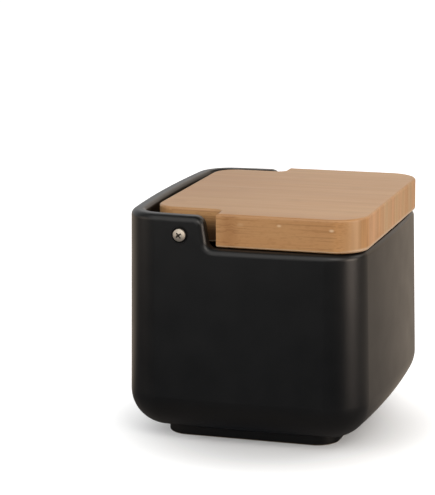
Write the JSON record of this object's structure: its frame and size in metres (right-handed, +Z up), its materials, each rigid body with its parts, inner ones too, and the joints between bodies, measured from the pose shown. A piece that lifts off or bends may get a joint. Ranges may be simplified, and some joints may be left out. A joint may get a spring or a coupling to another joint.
{
  "type": "salt box with hinged lid",
  "caption": "Squarish black stoneware salt box with a thick bamboo lid that swings up and back on screws through its raised rear cheeks.",
  "frame": {"origin": "centre of the overall bounding box's footprint, on the surface that the foot ring stands on", "axes": "+Z up; -Y is the front, under the lid's free edge; +Y is the hinge side; +X to the right seen from the front"},
  "size_m": [0.1392, 0.1232, 0.1138],
  "materials": {
    "black_glaze": "matte black stoneware glaze",
    "bamboo": "oiled edge-glued bamboo staves",
    "nickel_steel": "nickel-plated steel",
    "black_nylon": "moulded black nylon"
  },
  "bodies": {
    "box": {"stoneware_box": "black_glaze", "pivot_bush_left": "black_nylon", "pivot_bush_right": "black_nylon"},
    "lid": {"lid_stave_01": "bamboo", "lid_stave_02": "bamboo", "lid_stave_03": "bamboo", "lid_stave_04": "bamboo", "lid_stave_05": "bamboo", "lid_stave_06": "bamboo", "lid_stave_07": "bamboo", "lid_stave_08": "bamboo", "lid_stave_09": "bamboo", "lid_stave_10": "bamboo", "lid_stave_11": "bamboo", "lid_stave_12": "bamboo", "lid_stave_13": "bamboo", "lid_stave_14": "bamboo", "lid_stave_15": "bamboo", "lid_stave_16": "bamboo", "lid_stave_17": "bamboo", "pivot_screw_left": "nickel_steel", "pivot_screw_right": "nickel_steel", "lid_spacer_left": "black_nylon", "lid_spacer_right": "black_nylon"}
  },
  "joints": [
    {"name": "lid_hinge", "type": "hinge", "parent": "box", "child": "lid", "pos_m": [0, 0.0285, 0.1035], "axis": [-1, 0, 0], "range_deg": [0, 122]}
  ]
}
